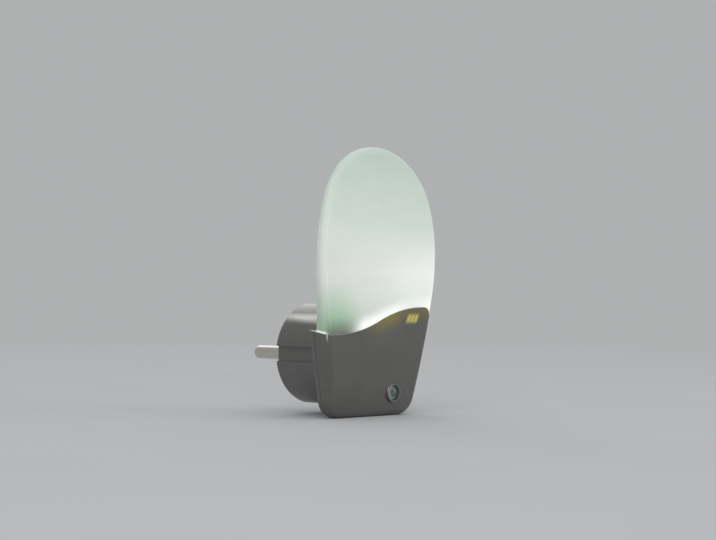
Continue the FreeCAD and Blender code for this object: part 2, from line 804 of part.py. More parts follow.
# Circuit boards
def main_board():
    half, foot = value("board_half_width"), value("board_foot_half_width")
    top, shoulder, waist, bottom = (value(text) for text in
                                    ("board_top", "-board_shoulder", "-board_waist", "-board_bottom"))
    points = [(-half, top), (-half, shoulder), (-foot, waist), (-foot, bottom),
              (foot, bottom), (foot, waist), (half, shoulder), (half, top)]
    edges = [line(a, b) for a, b in zip(points, points[1:] + points[:1])]
    rules = [("Vertical", 0), ("Vertical", 2), ("Horizontal", 3), ("Vertical", 4), ("Vertical", 6),
             ("Horizontal", 7)]
    sizes = [
        (("DistanceX", 0, 1, -1, 1), "board_half_width"),
        (("DistanceX", -1, 1, 6, 1), "board_half_width"),
        (("DistanceX", 2, 1, -1, 1), "board_foot_half_width"),
        (("DistanceX", -1, 1, 4, 1), "board_foot_half_width"),
        (("DistanceY", -1, 1, 0, 1), "board_top"),
        (("DistanceY", 0, 2, -1, 1), "board_shoulder"),
        (("DistanceY", 6, 1, -1, 1), "board_shoulder"),
        (("DistanceY", 2, 1, -1, 1), "board_waist"),
        (("DistanceY", 4, 2, -1, 1), "board_waist"),
        (("DistanceY", 2, 2, -1, 1), "board_bottom"),
    ]
    profile = draw("board_profile", FRONT_VIEW, edges, rules=rules, sizes=sizes)
    put(profile, y=PARTING)
    blank = extrude("board_blank", profile, "board_thickness")
    holes = [
        rod("board_hole_" + side, (sign + "board_screw_x", PARTING + " - 2 * board_thickness",
                                   "-board_screw_drop"), "screw_diameter + 2 * fit_gap",
            "4 * board_thickness")
        for side, sign in (("left", "-"), ("right", ""))
    ]
    return cut("main_board", blank, *holes)


def led_board():
    return box("led_board", ("led_board_left", BOARD_FRONT, "led_board_bottom"),
               ("led_board_right - led_board_left", "board_thickness", "led_board_top - led_board_bottom"))


def led_chips():
    chips = []
    for number in range(3):
        left = "led_x - led_width / 2 + (%d) * led_pitch" % (number - 1)
        chips.append(box("led_chip_%d" % (number + 1),
                         (left, BOARD_FRONT + " - led_thickness", "led_height - led_length / 2"),
                         ("led_width", "led_thickness", "led_length")))
    return group("led_chips", *chips)


def pipe(name, path, diameter, start, axis):
    """A round wire swept along an open sketch whose first edge leaves the start point."""
    ring = doc.addObject("Part::Circle", name + "_ring")
    ring.Placement.Rotation = ALONG[axis]
    bind(ring, Radius="(%s) / 2" % diameter)
    put(ring, *start)
    doc.recompute()
    item = doc.addObject("Part::Sweep", name)
    item.Sections = [ring]
    item.Spine = (path, ["Edge%d" % (n + 1) for n in range(len(path.Shape.Edges))])
    item.Solid = True
    return item


def led_wires():
    """Two insulated wires that loop from the main board's face to the light board's face."""
    front = value(BOARD_FRONT)
    low, high, bow = value("led_wire_start"), value("led_wire_end"), value("led_wire_bow")
    bend = value("led_wire_diameter")
    out = front - bow
    wires = []
    for number in range(2):
        edges = [
            line((front, low), (out + bend, low)),
            arc((out + bend, low + bend), bend, math.pi, 1.5 * math.pi),
            line((out, low + bend), (out, high - bend)),
            arc((out + bend, high - bend), bend, math.pi / 2, math.pi),
            line((out + bend, high), (front, high)),
        ]
        rules = [("Horizontal", 0), ("Vertical", 2), ("Horizontal", 4), ("Equal", 1, 3)]
        sizes = [
            (("DistanceX", 0, 1, -1, 1), "-%s" % BOARD_FRONT),
            (("DistanceY", -1, 1, 0, 1), "led_wire_start"),
            (("DistanceX", 2, 1, -1, 1), "led_wire_bow - %s" % BOARD_FRONT),
            (("DistanceY", -1, 1, 4, 1), "led_wire_end"),
            (("DistanceX", 4, 2, -1, 1), "-%s" % BOARD_FRONT),
            (("Radius", 1), "led_wire_diameter"),
        ]
        name = "led_wire_%d" % (number + 1)
        path = draw(name + "_path", SIDE_VIEW, edges, smooth=range(4), rules=rules, sizes=sizes, closed=False)
        across = "led_wire_x + %d * led_wire_pitch" % number
        put(path, x=across)
        wires.append(pipe(name, path, "led_wire_diameter", (across, BOARD_FRONT, "led_wire_start"), "y"))
    return group("led_wires", *wires)


# Plug
PIN_END = "(-face_thickness - pin_hub_height - pin_shank_length)"


def plug_pin(side, sign):
    radius, root, shank, cup = (value(text + "_diameter / 2") for text in
                                ("pin", "pin_root", "pin_shank", "cup"))
    tip, long = value("pin_tip_round"), value("pin_length")
    stop, end = value("-face_thickness - pin_hub_height"), value(PIN_END)
    floor = end + value("cup_depth")
    edges = [
        line((0, long), (radius - tip, long)),
        arc((radius - tip, long - tip), tip, 0, math.pi / 2),
        line((radius, long - tip), (radius, 0)),
        line((radius, 0), (root, 0)),
        line((root, 0), (root, stop)),
        line((root, stop), (shank, stop)),
        line((shank, stop), (shank, end)),
        line((shank, end), (cup, end)),
        line((cup, end), (cup, floor)),
        line((cup, floor), (0, floor)),
        line((0, floor), (0, long)),
    ]
    rules = [("Horizontal", edge) for edge in (0, 3, 5, 7, 9)]
    rules += [("Vertical", edge) for edge in (2, 4, 6, 8, 10)]
    rules += [("PointOnObject", 10, 1, -2), ("PointOnObject", 3, 1, -1)]
    sizes = [
        (("DistanceY", -1, 1, 0, 1), "pin_length"),
        (("Radius", 1), "pin_tip_round"),
        (("DistanceX", -1, 1, 2, 1), "pin_diameter / 2"),
        (("DistanceX", -1, 1, 4, 1), "pin_root_diameter / 2"),
        (("DistanceY", 5, 1, -1, 1), "face_thickness + pin_hub_height"),
        (("DistanceX", -1, 1, 6, 1), "pin_shank_diameter / 2"),
        (("DistanceY", 7, 1, -1, 1), "-%s" % PIN_END),
        (("DistanceX", -1, 1, 8, 1), "cup_diameter / 2"),
        (("DistanceY", 9, 1, -1, 1), "-%s - cup_depth" % PIN_END),
    ]
    name = "plug_pin_" + side
    profile = draw(name + "_profile", PLAN_VIEW, edges, smooth=(0, 1), rules=rules, sizes=sizes)
    return put(revolve(name, profile, V(0, 1, 0)), x=sign + "pin_pitch / 2")


def pin_washers():
    rings = []
    for side, sign in (("left", "-"), ("right", "")):
        start = (sign + "pin_pitch / 2", "-face_thickness - pin_hub_height - washer_thickness", "0")
        bore = (start[0], "-body_depth / 2", "0")
        rings.append(cut("pin_washer_" + side,
                         rod("washer_disc_" + side, start, "washer_diameter", "washer_thickness"),
                         rod("washer_bore_" + side, bore, "pin_shank_diameter + seam_gap", "body_depth")))
    return group("pin_washers", *rings)


def mains_wire(name, side):
    """From the cup in a pin's end, round an S bend, straight to the board's rear face."""
    near, far = value("pin_pitch / 2"), value("wire_offset")
    end = value(PIN_END)
    begin = end + value("cup_depth")
    bend_start = end - value("wire_straight")
    shift = value("wire_shift_length")
    bend_end = bend_start - shift
    radius = ((far - near) ** 2 + shift**2) / (4 * (far - near))
    half = math.asin(shift / 2 / radius)
    if side > 0:
        first = arc((near + radius, bend_start), radius, math.pi, math.pi + half)
        second = arc((far - radius, bend_end), radius, 0, half)
    else:
        first = arc((-near - radius, bend_start), radius, -half, 0)
        second = arc((radius - far, bend_end), radius, math.pi - half, math.pi)
    edges = [
        line((side * near, begin), (side * near, bend_start)),
        first,
        second,
        line((side * far, bend_end), (side * far, value(PARTING))),
    ]
    origin_first = side > 0
    rules = [("Vertical", 0), ("Vertical", 3), ("Equal", 1, 2)]
    sizes = [
        (("DistanceX", -1, 1, 0, 1) if origin_first else ("DistanceX", 0, 1, -1, 1), "pin_pitch / 2"),
        (("DistanceX", -1, 1, 3, 1) if origin_first else ("DistanceX", 3, 1, -1, 1), "wire_offset"),
        (("DistanceY", 0, 1, -1, 1), "-%s - cup_depth" % PIN_END),
        (("DistanceY", 0, 2, -1, 1), "wire_straight - %s" % PIN_END),
        (("DistanceY", 3, 1, -1, 1), "wire_straight + wire_shift_length - %s" % PIN_END),
        (("DistanceY", 3, 2, -1, 1), "-%s" % PARTING),
    ]
    path = draw(name + "_path", PLAN_VIEW, edges, smooth=range(3), rules=rules, sizes=sizes, closed=False)
    sign = "" if side > 0 else "-"
    return pipe(name, path, "wire_diameter", (sign + "pin_pitch / 2", PIN_END + " + cup_depth", "0"), "y")


# Screws
def screw(name, head_start, length, towards_front):
    """A cross-head screw whose head starts at head_start; it runs along Y."""
    x, y, z = head_start
    head_y = y if towards_front else y + " - screw_head_height"
    shank_y = "%s - (%s)" % (y, length) if towards_front else y
    slot_y = y + " + screw_head_height / 2" if towards_front else y + " - screw_head_height - 1"
    head = rod(name + "_head", (x, head_y, z), "screw_head_diameter", "screw_head_height")
    shank = rod(name + "_shank", (x, shank_y, z), "screw_diameter - seam_gap", length)
    slots = []
    for number, (wide, high) in enumerate((("screw_head_diameter / 1.7", "screw_diameter / 4"),
                                           ("screw_diameter / 4", "screw_head_diameter / 1.7"))):
        slots.append(box("%s_slot_%d" % (name, number), ("%s - %s / 2" % (x, wide), slot_y,
                                                         "%s - %s / 2" % (z, high)),
                         (wide, "1 + screw_head_height / 2", high)))
    return cut(name, fuse(name + "_solid", head, shank), *slots)


def board_screws():
    return group("board_screws", *[
        screw("board_screw_" + side, (sign + "board_screw_x", BOARD_FRONT, "-board_screw_drop"),
              "board_screw_length", False)
        for side, sign in (("left", "-"), ("right", ""))
    ])


def case_screws():
    return group("case_screws", *[
        screw("case_screw_" + side, (sign + "case_screw_x", REAR + " - case_head_sink",
                                     "-case_screw_drop"), "case_screw_length", True)
        for side, sign in (("left", "-"), ("right", ""))
    ])


# Parts that stand on the rear of the main board, each a body with its wire legs
JOINTS = []


def leg(name, x, z, reach):
    """One wire leg, from the board's rear face to inside the part; it also asks for a solder joint."""
    JOINTS.append((x, z))
    return rod(name, (x, PARTING, z), "lead_diameter", reach)


def film_capacitor():
    x, z = "-film_x", "-film_drop"
    raw = box("film_block", ("%s - film_width / 2" % x, PARTING + " + stand_off", "%s - film_height / 2" % z),
              ("film_width", "film_depth", "film_height"))
    body = rounded("film_body", raw, [(lambda edge: True, "film_round")])
    legs = [leg("film_leg_%d" % n, "%s %s film_lead_pitch / 2" % (x, sign), z, "stand_off + 1")
            for n, sign in enumerate("-+")]
    return fuse("film_capacitor", body, *legs)


def smoothing_capacitor():
    x, z = "smoother_x", "-smoother_drop"
    raw = rod("smoother_can", (x, PARTING + " + stand_off", z), "smoother_diameter", "smoother_length")
    body = rounded("smoother_body", raw, [(lambda edge: len(edge.Vertexes) == 1, "smoother_diameter / 12")])
    legs = [leg("smoother_leg_%d" % n, "%s %s smoother_lead_pitch / 2" % (x, sign), z, "stand_off + 1")
            for n, sign in enumerate("-+")]
    return fuse("smoothing_capacitor", body, *legs)


def bridge_rectifier():
    x, z = "-bridge_x", "-bridge_drop"
    body = box("bridge_body", ("%s - bridge_width / 2" % x, PARTING + " + stand_off",
                               "%s - bridge_height / 2" % z),
               ("bridge_width", "bridge_depth", "bridge_height"))
    legs = []
    for a in "-+":
        for b in "-+":
            legs.append(leg("bridge_leg_%d" % len(legs), "%s %s bridge_leg_pitch / 2" % (x, a),
                            "%s %s bridge_height / 3" % (z, b), "stand_off + 1"))
    return fuse("bridge_rectifier", body, *legs)


def varistor():
    z = "-varistor_drop"
    raw = rod("varistor_disc", ("varistor_x - varistor_thickness / 2",
                                PARTING + " + stand_off + varistor_diameter / 2", z),
              "varistor_diameter", "varistor_thickness", "x")
    body = rounded("varistor_body", raw, [(lambda edge: len(edge.Vertexes) == 1, "varistor_thickness / 3")])
    legs = [leg("varistor_leg_%d" % n, "varistor_x", "%s %s varistor_lead_pitch / 2" % (z, sign),
                "stand_off + varistor_diameter / 3") for n, sign in enumerate("-+")]
    return fuse("varistor", body, *legs)


def fusible_resistor():
    """Stands upright: one wire straight down, the other folded back beside the body."""
    x, z = "-fuse_x", "fuse_height"
    top = PARTING + " + 2 * stand_off + fuse_length"
    raw = rod("fuse_tube", (x, PARTING + " + stand_off", z), "fuse_diameter", "fuse_length")
    body = rounded("fuse_body", raw, [(lambda edge: len(edge.Vertexes) == 1, "fuse_diameter / 5")])
    folded = "%s - fuse_lead_pitch" % z
    parts = [
        leg("fuse_leg_0", x, z, "2 * stand_off + fuse_length"),
        leg("fuse_leg_1", x, folded, "2 * stand_off + fuse_length"),
        rod("fuse_bridge", (x, top, folded), "lead_diameter", "fuse_lead_pitch", "z"),
        put(bind(doc.addObject("Part::Sphere", "fuse_elbow_0"), Radius="lead_diameter / 2"), x, top, z),
        put(bind(doc.addObject("Part::Sphere", "fuse_elbow_1"), Radius="lead_diameter / 2"), x, top, folded),
    ]
    return fuse("fusible_resistor", body, *parts)


def axial_part(name, x, z, size, axis="x"):
    """A small tubular part that lies on the board with both wires bent down to it."""
    diameter, length, span = (size + word for word in ("_diameter", "_length", "_span"))
    height = "%s + stand_off + %s / 2" % (PARTING, diameter)
    start = [x, height, z]
    wire = [x, height, z]
    spot = 0 if axis == "x" else 2
    start[spot] += " - %s / 2" % length
    wire[spot] += " - %s / 2" % span
    raw = rod(name + "_tube", start, diameter, length, axis)
    body = rounded(name + "_body", raw, [(lambda edge: len(edge.Vertexes) == 1, diameter + " / 5")])
    parts = [body, rod(name + "_wire", wire, "lead_diameter", span, axis)]
    for number, sign in enumerate("-+"):
        end = [x, height, z]
        end[spot] += " %s %s / 2" % (sign, span)
        parts.append(leg("%s_leg_%d" % (name, number), end[0], end[2], "stand_off + %s / 2" % diameter))
        elbow = doc.addObject("Part::Sphere", "%s_elbow_%d" % (name, number))
        parts.append(put(bind(elbow, Radius="lead_diameter / 2"), *end))
    return fuse(name, *parts)


def transistor():
    x, z = "transistor_x", "-transistor_drop"
    lift = PARTING + " + 3 * stand_off"
    raw = rod("transistor_round", (x, lift, z), "transistor_diameter", "transistor_length")
    flat = box("transistor_flat_cut", ("%s - transistor_diameter" % x, lift + " - 1",
                                       "%s - transistor_diameter" % z),
               ("2 * transistor_diameter", "transistor_length + 2",
                "transistor_diameter - transistor_flat"))
    legs = [leg("transistor_leg_%d" % n, "%s + (%d) * transistor_lead_pitch" % (x, n - 1), z,
                "3 * stand_off + 1") for n in range(3)]
    return fuse("transistor", cut("transistor_body", raw, flat), *legs)


def solder_joints():
    """A small cone of solder on the board's front face for every leg and wire."""
    spots = JOINTS + [(sign + "wire_offset", "0") for sign in ("-", "")]
    cones = []
    for number, (x, z) in enumerate(spots):
        cone = doc.addObject("Part::Cone", "solder_%02d" % number)
        cone.Placement.Rotation = ALONG["y"]
        bind(cone, Radius1="solder_diameter / 5", Radius2="solder_diameter / 2", Height="solder_height")
        cones.append(put(cone, x, BOARD_FRONT + " - solder_height", z))
    return group("solder_joints", *cones)


def build():
    form = case_form()
    wave = wave_block("case_wave")
    return [
        front_housing(form, wave),
        rear_housing(form, wave),
        lens_front(),
        lens_back(),
        sensor_bezel(),
        sensor_window(),
        photoresistor(),
        main_board(),
        led_board(),
        led_chips(),
        led_wires(),
        plug_pin("left", "-"),
        plug_pin("right", ""),
        pin_washers(),
        mains_wire("live_wire", 1),
        mains_wire("neutral_wire", -1),
        board_screws(),
        case_screws(),
        film_capacitor(),
        smoothing_capacitor(),
        bridge_rectifier(),
        varistor(),
        fusible_resistor(),
        axial_part("bleed_resistor", "-bleeder_x", "-bleeder_drop", "bleeder"),
        axial_part("bias_resistor", "bias_x", "-bias_drop", "bias"),
        axial_part("zener_diode", "-zener_x", "-zener_drop", "zener", "z"),
        transistor(),
        solder_joints(),
    ]


pieces = build()
doc.recompute()
for item in doc.Objects:
    if "Invalid" in item.State or "Error" in item.State:
        raise RuntimeError("%s failed: %s" % (item.Name, item.State))
for item in pieces:
    item.Label = item.Name
    if item.Shape.isNull() or not item.Shape.isValid() or not item.Shape.Solids:
        raise RuntimeError("%s has no valid solid" % item.Label)
os.makedirs("parts", exist_ok=True)
for item in pieces:
    item.Shape.exportStep("parts/%s.step" % item.Label)
    print("%-22s %2d solids %9.1f mm3" % (item.Label, len(item.Shape.Solids), item.Shape.Volume))
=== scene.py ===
import json
import math

import bpy
from mathutils import Matrix, Vector


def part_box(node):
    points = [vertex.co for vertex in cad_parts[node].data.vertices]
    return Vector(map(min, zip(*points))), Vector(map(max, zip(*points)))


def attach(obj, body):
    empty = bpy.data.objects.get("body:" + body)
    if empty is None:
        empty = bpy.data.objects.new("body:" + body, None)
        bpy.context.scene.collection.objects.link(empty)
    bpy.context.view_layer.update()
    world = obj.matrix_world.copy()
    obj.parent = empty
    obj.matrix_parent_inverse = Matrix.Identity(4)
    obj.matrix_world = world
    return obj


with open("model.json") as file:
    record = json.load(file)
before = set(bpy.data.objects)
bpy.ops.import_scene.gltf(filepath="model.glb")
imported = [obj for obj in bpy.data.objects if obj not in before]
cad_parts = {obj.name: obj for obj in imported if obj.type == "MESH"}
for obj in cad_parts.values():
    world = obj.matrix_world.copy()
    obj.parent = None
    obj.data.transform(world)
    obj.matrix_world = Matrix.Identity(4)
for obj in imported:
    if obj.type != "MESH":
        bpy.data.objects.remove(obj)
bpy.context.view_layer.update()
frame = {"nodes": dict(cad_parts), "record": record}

# Lengths are in metres, in the part's own coordinates: the front faces -Y and +Z is up
MM = 0.001

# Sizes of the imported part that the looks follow
FRONT_RADIUS = 330 * MM
FRONT_CREST = Vector((0, -36 * MM, 37 * MM))
WAVE_LOW, WAVE_HIGH = 6.9 * MM, 16.6 * MM
WAVE_REACH = 21.5 * MM
WAVE_RAKE = math.tan(math.radians(10))
CHIPS_X, CHIPS_Z = 16.2 * MM, 12.8 * MM
CHIP_PITCH = 1.9 * MM
disc_low, disc_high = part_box("photoresistor")
SENSOR_DISC = Vector(((disc_low.x + disc_high.x) / 2, disc_low.y, (disc_low.z + disc_high.z) / 2))
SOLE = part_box("front_housing")[0].z

# A soft bright area on the lens, above the chips; its depth doesn't count
BRIGHT_AREA = Vector((16 * MM, 0, 25 * MM))
BRIGHT_SPREAD = (15 * MM, 1.0, 13 * MM)

# Heights of fine bumps: lacquer's flakes, marks in metal, moulded skin, and lacquer's peel or a board's tracks
FLAKE_DEPTH, MARK_DEPTH, SKIN_DEPTH, PEEL_DEPTH = 0.01 * MM, 0.02 * MM, 0.03 * MM, 0.04 * MM


# Node trees
class Shader:
    """The node tree of a material or a world, whose nodes are made and linked in one call each."""

    def __init__(self, owner):
        self.owner = owner
        owner.use_nodes = True
        self.tree = owner.node_tree
        self.tree.nodes.clear()

    def add(self, kind, inputs=(), **settings):
        node = self.tree.nodes.new("ShaderNode" + kind)
        for key, setting in settings.items():
            setattr(node, key, setting)
        for key, given in dict(inputs).items():
            if isinstance(given, bpy.types.NodeSocket):
                self.tree.links.new(given, node.inputs[key])
            else:
                node.inputs[key].default_value = given
        return node

    def place(self):
        return self.add("TexCoord").outputs["Object"]

    def split(self, socket="Object"):
        """The three parts of a point's place, or of its normal."""
        parts = self.add("SeparateXYZ", {"Vector": self.add("TexCoord").outputs[socket]})
        return parts.outputs["X"], parts.outputs["Y"], parts.outputs["Z"]

    def math(self, operation, a, b=0.0, c=0.0):
        return self.add("Math", {0: a, 1: b, 2: c}, operation=operation).outputs[0]

    def noise(self, scale, detail, rough=0.5, stretch=None):
        at = self.place()
        if stretch:
            at = self.add("Mapping", {"Vector": at, "Scale": stretch}).outputs[0]
        made = {"Vector": at, "Scale": scale, "Detail": detail, "Roughness": rough}
        return self.add("TexNoise", made).outputs["Fac"]

    def remap(self, x, low, high, to_low, to_high, smooth=False):
        kind = "SMOOTHSTEP" if smooth else "LINEAR"
        made = {"Value": x, "From Min": low, "From Max": high, "To Min": to_low, "To Max": to_high}
        return self.add("MapRange", made, interpolation_type=kind, clamp=True).outputs[0]

    def along(self, position, *stops):
        """A level or colour that runs straight between its (millimetres, level or colour) stops."""
        start, end = stops[0][0], stops[-1][0]
        node = self.add("ValToRGB", {"Fac": self.remap(position, start * MM, end * MM, 0, 1)})
        band = node.color_ramp
        while len(band.elements) < len(stops):
            band.elements.new(0.5)
        for element, (spot, level) in zip(band.elements, stops):
            element.position = (spot - start) / (end - start)
            element.color = (*level, 1) if isinstance(level, tuple) else (level, level, level, 1)
        return node.outputs["Color"]

    def mix(self, share, a, b, blend="MIX"):
        node = self.add("Mix", data_type="RGBA", blend_type=blend, clamp_factor=True)
        for socket, given in ((node.inputs[0], share), (node.inputs[6], a), (node.inputs[7], b)):
            if isinstance(given, bpy.types.NodeSocket):
                self.tree.links.new(given, socket)
            else:
                socket.default_value = (*given, 1) if isinstance(given, tuple) else given
        return node.outputs[2]

    def cloudy(self, scale, detail, dark, light, low=0.3, high=0.7):
        """A colour that wanders between a dark and a light one."""
        return self.mix(self.remap(self.noise(scale, detail), low, high, 0, 1), dark, light)

    def bump(self, height, strength, depth, before=None):
        made = {"Height": height, "Strength": strength, "Distance": depth}
        if before:
            made["Normal"] = before
        return self.add("Bump", made).outputs["Normal"]

    def finish(self, **inputs):
        """Ends a material with a Principled surface; colours are given as three numbers."""
        words = {}
        for key, given in inputs.items():
            colour = key.endswith("Color") and isinstance(given, tuple)
            words[key.replace("_", " ")] = (*given, 1) if colour else given
        self.add("OutputMaterial", {"Surface": self.add("BsdfPrincipled", words).outputs[0]})
        return self.owner


def new_material(name):
    return Shader(bpy.data.materials.new(name))


def above_wave(shader):
    """How far a point lies above the housing's wavy edge, in metres."""
    x, y, z = shader.split()
    edge = shader.remap(x, -WAVE_REACH, WAVE_REACH, WAVE_LOW, WAVE_HIGH, smooth=True)
    rise = shader.math("MULTIPLY_ADD", y, WAVE_RAKE, -WAVE_RAKE * FRONT_CREST.y)
    return shader.math("SUBTRACT", z, shader.math("ADD", edge, rise))


def behind_front(shader):
    """How deep a point lies behind the bowed front, in metres."""
    _, y, z = shader.split()
    fall = shader.math("POWER", shader.math("SUBTRACT", z, FRONT_CREST.z), 2)
    return shader.math("SUBTRACT", y, shader.math("MULTIPLY_ADD", fall, 0.5 / FRONT_RADIUS, FRONT_CREST.y))


def away_from(shader, point, spread):
    """Distance from a point, with each axis divided by its own spread."""
    at = shader.add("VectorMath", {0: shader.place(), 1: point}, operation="SUBTRACT").outputs[0]
    shrink = [1 / width for width in spread]
    at = shader.add("VectorMath", {0: at, 1: shrink}, operation="MULTIPLY").outputs[0]
    return shader.add("VectorMath", {0: at}, operation="LENGTH").outputs["Value"]


# Materials
def housing_lacquer():
    """Satin metallic lacquer over translucent plastic, with painted glow where the light behind it shows
    through as gold.
    """
    s = new_material("metallic_lacquer")
    x, _, z = s.split()
    flakes = s.add("TexVoronoi", {"Vector": s.place(), "Scale": 7000}, feature="F1").outputs["Color"]
    flake = s.add("RGBToBW", {"Color": flakes}).outputs[0]
    colour = s.cloudy(90, 4, (0.118, 0.116, 0.111), (0.136, 0.133, 0.126))
    colour = s.mix(s.remap(flake, 0, 1, 0, 0.16), colour, (0.31, 0.305, 0.29))
    peel = s.bump(s.noise(1500, 2), 0.18, PEEL_DEPTH)
    grain = s.bump(flake, 0.1, FLAKE_DEPTH, peel)
    rough = s.remap(s.noise(45, 5, 0.6), 0.25, 0.75, 0.27, 0.36)

    # painted glow: the wave's high end lets light through, as olive on the slope and brown round the three
    # chips
    olive, brown, gold = (0.095, 0.088, 0.004), (0.075, 0.048, 0.006), (0.40, 0.355, 0.032)
    front = s.remap(behind_front(s), 0.4 * MM, 2.2 * MM, 1, 0, smooth=True)
    depth = s.math("MULTIPLY", above_wave(s), -1.0)
    painted_glow = s.math("MULTIPLY", s.remap(depth, 0, 6.2 * MM, 1, 0, smooth=True), front)
    level = s.along(x, (-8, 0), (1, 0.75), (6, 1), (12, 0.6), (21, 0.55), (24, 0.75), (28, 0))
    painted_glow = s.math("MULTIPLY", painted_glow, level)
    glow_tint = s.mix(s.remap(x, 4 * MM, 14 * MM, 0, 1, smooth=True), olive, brown)
    # the painted glow also yellows the lacquer's base colour here
    colour = s.mix(painted_glow, colour, s.mix(1.0, colour, (0.95, 0.9, 0.45), "MULTIPLY"))
    lit = s.mix(painted_glow, (0.0, 0.0, 0.0), glow_tint)

    # painted glow of the three chips through the lacquer: three leaning gold bars, one for each chip
    lean, bar_depth, bar_base = 0.4, 0.22, 0.78
    up = s.math("SUBTRACT", z, CHIPS_Z)
    across = s.math("SUBTRACT", x, s.math("MULTIPLY_ADD", up, lean, CHIPS_X))
    phase = s.math("MULTIPLY", across, math.tau / CHIP_PITCH)
    bars = s.math("MULTIPLY_ADD", s.math("COSINE", phase), bar_depth, bar_base)
    wide = s.remap(s.math("ABSOLUTE", across), 1.25 * CHIP_PITCH, 1.75 * CHIP_PITCH, 1, 0, smooth=True)
    tall = s.remap(s.math("ABSOLUTE", up), 0.5 * MM, 2.3 * MM, 1, 0, smooth=True)
    chip_glow = s.math("MULTIPLY", s.math("MULTIPLY", bars, wide), s.math("MULTIPLY", tall, front))
    lit = s.mix(chip_glow, lit, gold)

    # painted highlight: the lens's light catches the upright corner under its darkest end, where the normal
    # leans to the left
    corner = s.math("MULTIPLY", s.split("Normal")[0], s.math("LESS_THAN", x, 0.0))
    corner = s.math("MULTIPLY", s.remap(corner, -0.6, -0.70, 0, 1), s.remap(corner, -0.82, -0.72, 0, 1))
    corner = s.math("MULTIPLY", corner, s.remap(depth, 0.0, 2.8 * MM, 1, 0))
    lit = s.mix(corner, lit, (0.42, 0.44, 0.42))
    return s.finish(Base_Color=colour, Metallic=0.6, Roughness=rough, Normal=grain, Coat_Weight=0.35,
                    Coat_Roughness=0.12, Emission_Color=lit, Emission_Strength=1.0)


def lit_diffuser():
    """Frosted plastic lit from below: brightest along the wave's slope, green and dim at the lower left."""
    s = new_material("frosted_lens")
    x, _, z = s.split()
    height = above_wave(s)
    # facing is near 1 on the front and the back, and falls to 0 round the rim
    facing = s.math("ABSOLUTE", s.split("Normal")[1])
    rim = s.remap(facing, 0.4, 0.9, 1, 0)
    glow = s.along(
        z,
        (12.0, (0.34, 0.35, 0.33)),
        (20.4, (0.39, 0.40, 0.375)),
        (28.8, (0.44, 0.44, 0.43)),
        (37.9, (0.39, 0.395, 0.375)),
        (46.3, (0.300, 0.340, 0.310)),
        (55.4, (0.255, 0.300, 0.268)),
        (69.4, (0.185, 0.238, 0.208)),
    )

    # below the middle the right side is brighter than the left, most of all above the chips
    tilt = s.remap(x, -27 * MM, 25 * MM, -0.17, 0.17)
    side = s.math("MULTIPLY", tilt, s.remap(z, 48 * MM, 28 * MM, 0, 1, smooth=True))
    glow = s.mix(1.0, glow, s.math("ADD", side, 1.0), "MULTIPLY")
    area = s.remap(away_from(s, BRIGHT_AREA, BRIGHT_SPREAD), 0, 1.3, 0.045, 0, smooth=True)
    glow = s.mix(1.0, glow, area, "ADD")

    # the wave's low end gets least light, and what reaches it is green
    rim_lift, lean = 3 * MM, 0.28
    fall = s.along(
        s.math("MULTIPLY_ADD", rim, rim_lift, height),
        (0.0, (0.0, 0.0, 0.0)),
        (2.88, (0.04, 0.23, 0.07)),
        (5.94, (0.165, 0.56, 0.185)),
        (10.08, (0.53, 0.80, 0.55)),
        (14.4, (0.78, 0.94, 0.79)),
        (18.0, (1.0, 1.0, 1.0)),
    )
    left = s.remap(s.math("MULTIPLY_ADD", height, lean, x), -5.5 * MM, -18.5 * MM, 0, 1, smooth=True)
    glow = s.mix(left, glow, s.mix(1.0, glow, fall, "MULTIPLY"))

    # the rim is dimmer towards the back, and a lit line runs where it leaves the front
    dim = s.remap(behind_front(s), 0.4 * MM, 3.6 * MM, 1.0, 0.56)
    glow = s.mix(rim, glow, s.mix(1.0, glow, dim, "MULTIPLY"))
    line = s.remap(s.math("ABSOLUTE", s.math("SUBTRACT", facing, 0.94)), 0, 0.05, 1, 0)
    glow = s.mix(1.0, glow, s.math("MULTIPLY", line, s.remap(z, 45 * MM, 62 * MM, 0.06, 0.01)), "ADD")

    # light spills along the housing's edge, over the rim's foot and round the right-hand end
    spill = s.along(x, (-30, 0), (-14, 0), (-12, 0.2), (-8.2, 1), (7.5, 1), (12, 0.5), (18, 0.4), (22, 0.7),
                    (30, 0.9))
    spill = s.math("MULTIPLY", spill, s.remap(height, 5.6 * MM, 0.5 * MM, 0, 1, smooth=True))
    glow = s.mix(spill, glow, (0.72, 0.71, 0.70))
    ledge = s.math("MULTIPLY", rim, s.remap(height, 0.4 * MM, 1.2 * MM, 1, 0, smooth=True))
    glow = s.mix(ledge, glow, (0.55, 0.62, 0.54))
    near_end = s.remap(x, 23.2 * MM, 28.5 * MM, 0, 0.7, smooth=True)
    glow = s.mix(s.math("MULTIPLY", near_end, s.remap(z, 34 * MM, 18 * MM, 0, 1)), glow, (0.75, 0.74, 0.72))

    # the plastic itself, with painted shade darkening it just above the wave's low end, where the lens meets
    # the housing
    colour = s.cloudy(160, 3, (0.350, 0.390, 0.362), (0.370, 0.408, 0.380), 0.35, 0.65)
    low = s.math("MULTIPLY", left, s.remap(rim, 0, 1, 1, 0))
    low = s.math("MULTIPLY", low, s.remap(height, 6 * MM, 0, 0, 1))
    colour = s.mix(low, colour, s.mix(1.0, colour, (0.50, 0.50, 0.40), "MULTIPLY"))
    frost = s.bump(s.noise(5200, 3, 0.6), 0.25, SKIN_DEPTH)
    scatter = (3 * MM, 3.5 * MM, 3 * MM)
    return s.finish(Base_Color=colour, Roughness=0.5, Normal=frost, Subsurface_Weight=0.25,
                    Subsurface_Radius=scatter, Subsurface_Scale=1.0, Coat_Weight=0.1,
                    Coat_Roughness=0.35, Emission_Color=glow, Emission_Strength=1.0)


